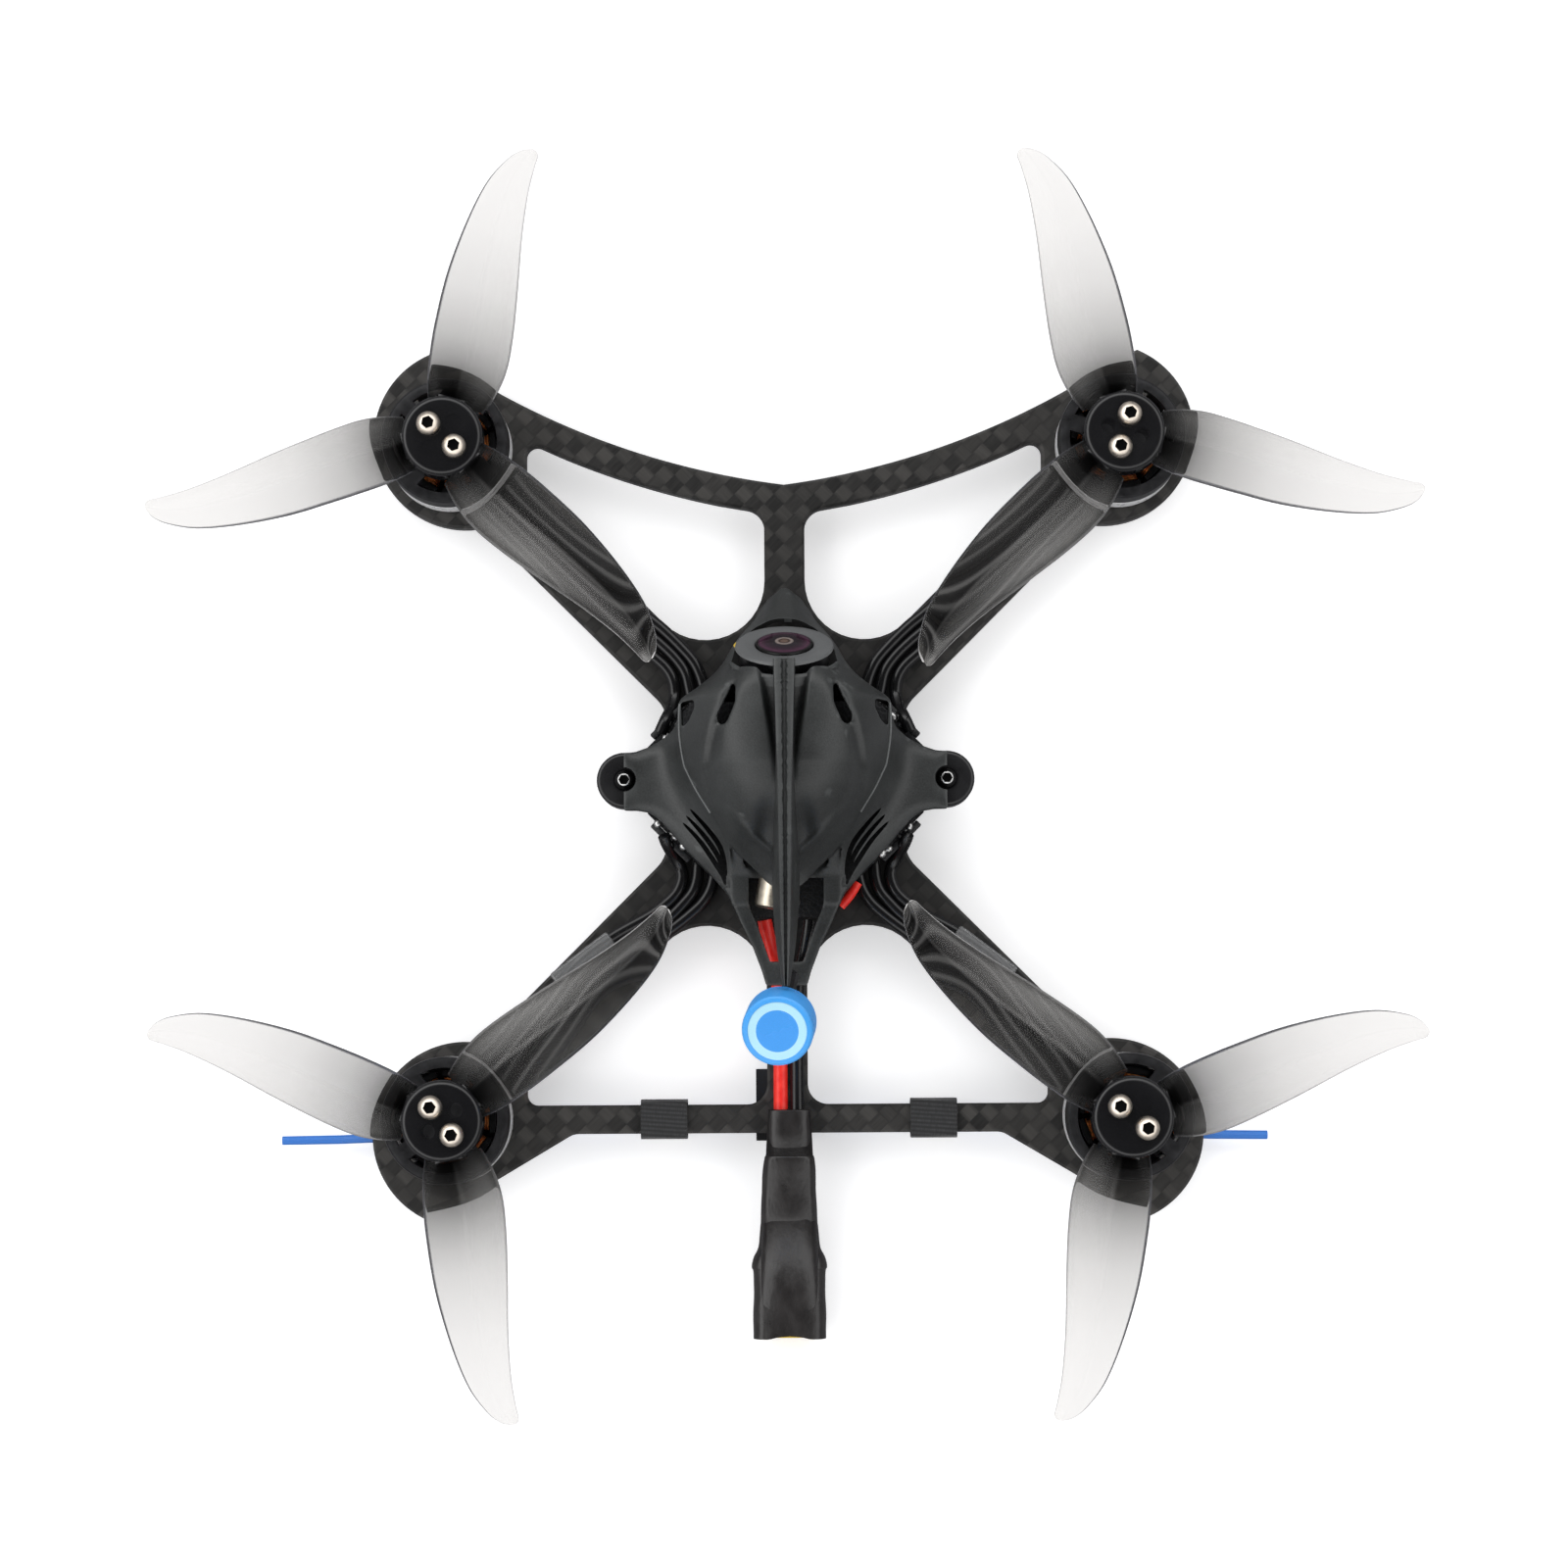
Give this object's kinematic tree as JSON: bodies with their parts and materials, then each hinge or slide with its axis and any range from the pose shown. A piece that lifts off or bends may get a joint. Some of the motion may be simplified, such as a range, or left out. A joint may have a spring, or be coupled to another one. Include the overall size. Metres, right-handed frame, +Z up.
{
  "type": "quadcopter drone",
  "caption": "Flat carbon-plate quadcopter with smoke-grey three-blade propellers, finned dark canopy, tilting camera, capped antenna and sleeved battery lead.",
  "frame": {"origin": "middle of the four motors, on the battery pad's lower face", "axes": "+Z up along the rotor axes, +Y forward to the camera, +X to the right"},
  "size_m": [0.1862, 0.185, 0.037],
  "materials": {
    "carbon": "woven carbon plate, satin",
    "rubber": "matt black rubber",
    "moulded_canopy": "fine-grained dark grey moulding",
    "black_metal": "black anodised, satin",
    "copper": "enamelled copper windings",
    "smoke_polycarbonate": "clear smoke grey, glossy",
    "screw_steel": "turned steel",
    "black_steel": "black oxide",
    "black_plastic": "satin black",
    "bezel_grey": "satin grey",
    "lens_glass": "coated lens",
    "board": "black solder mask",
    "capacitor_can": "sleeved can",
    "antenna_blue": "bright blue moulding",
    "aerial_blue": "blue tube",
    "red_silicone": "red silicone",
    "black_silicone": "black silicone",
    "heat_shrink": "shrunk tubing, satin",
    "connector_yellow": "yellow nylon",
    "webbing": "woven black band"
  },
  "bodies": {
    "airframe": {"battery_pad": "rubber", "frame_plate": "carbon", "motor_base_front_left": "black_metal", "motor_stator_front_left": "copper", "motor_wires_front_left": "black_silicone", "motor_base_front_right": "black_metal", "motor_stator_front_right": "copper", "motor_wires_front_right": "black_silicone", "motor_base_rear_left": "black_metal", "motor_stator_rear_left": "copper", "motor_wires_rear_left": "black_silicone", "motor_base_rear_right": "black_metal", "motor_stator_rear_right": "copper", "motor_wires_rear_right": "black_silicone", "canopy": "moulded_canopy", "ear_block_left": "black_plastic", "ear_block_right": "black_plastic", "antenna_stem": "black_plastic", "antenna_holder": "black_plastic", "canopy_screw_left": "black_steel", "canopy_screw_right": "black_steel", "flight_controller": "board", "video_transmitter": "board", "receiver": "board", "board_post_right": "rubber", "board_post_front": "rubber", "board_post_left": "rubber", "board_post_rear": "rubber", "capacitor": "capacitor_can", "antenna_cap": "antenna_blue", "receiver_antenna_left": "aerial_blue", "receiver_antenna_right": "aerial_blue", "tail_bar_band_left": "webbing", "tail_bar_band_right": "webbing", "power_wire_red": "red_silicone", "power_wire_black": "black_silicone", "heat_shrink_sleeve": "heat_shrink", "power_connector": "connector_yellow"},
    "rotor_front_left": {"motor_bell_front_left": "black_metal", "propeller_front_left": "smoke_polycarbonate", "prop_screw_front_left_a": "screw_steel", "prop_screw_front_left_b": "screw_steel"},
    "rotor_front_right": {"motor_bell_front_right": "black_metal", "propeller_front_right": "smoke_polycarbonate", "prop_screw_front_right_a": "screw_steel", "prop_screw_front_right_b": "screw_steel"},
    "rotor_rear_left": {"motor_bell_rear_left": "black_metal", "propeller_rear_left": "smoke_polycarbonate", "prop_screw_rear_left_a": "screw_steel", "prop_screw_rear_left_b": "screw_steel"},
    "rotor_rear_right": {"motor_bell_rear_right": "black_metal", "propeller_rear_right": "smoke_polycarbonate", "prop_screw_rear_right_a": "screw_steel", "prop_screw_rear_right_b": "screw_steel"},
    "camera": {"camera_body": "black_plastic", "camera_bezel": "bezel_grey", "camera_lens": "lens_glass", "camera_pin_left": "screw_steel", "camera_pin_right": "screw_steel"}
  },
  "joints": [
    {"name": "rotor_spin_front_left", "type": "hinge", "parent": "airframe", "child": "rotor_front_left", "pos_m": [-0.0495, 0.0495, 0.0171], "axis": [0, 0, 1], "continuous": true},
    {"name": "rotor_spin_front_right", "type": "hinge", "parent": "airframe", "child": "rotor_front_right", "pos_m": [0.0495, 0.0495, 0.0171], "axis": [0, 0, 1], "continuous": true},
    {"name": "rotor_spin_rear_left", "type": "hinge", "parent": "airframe", "child": "rotor_rear_left", "pos_m": [-0.0495, -0.0495, 0.0171], "axis": [0, 0, 1], "continuous": true},
    {"name": "rotor_spin_rear_right", "type": "hinge", "parent": "airframe", "child": "rotor_rear_right", "pos_m": [0.0495, -0.0495, 0.0171], "axis": [0, 0, 1], "continuous": true},
    {"name": "camera_tilt", "type": "hinge", "parent": "airframe", "child": "camera", "pos_m": [0, 0.01237, 0.02133], "axis": [1, 0, 0], "range_deg": [-5, 5]}
  ]
}
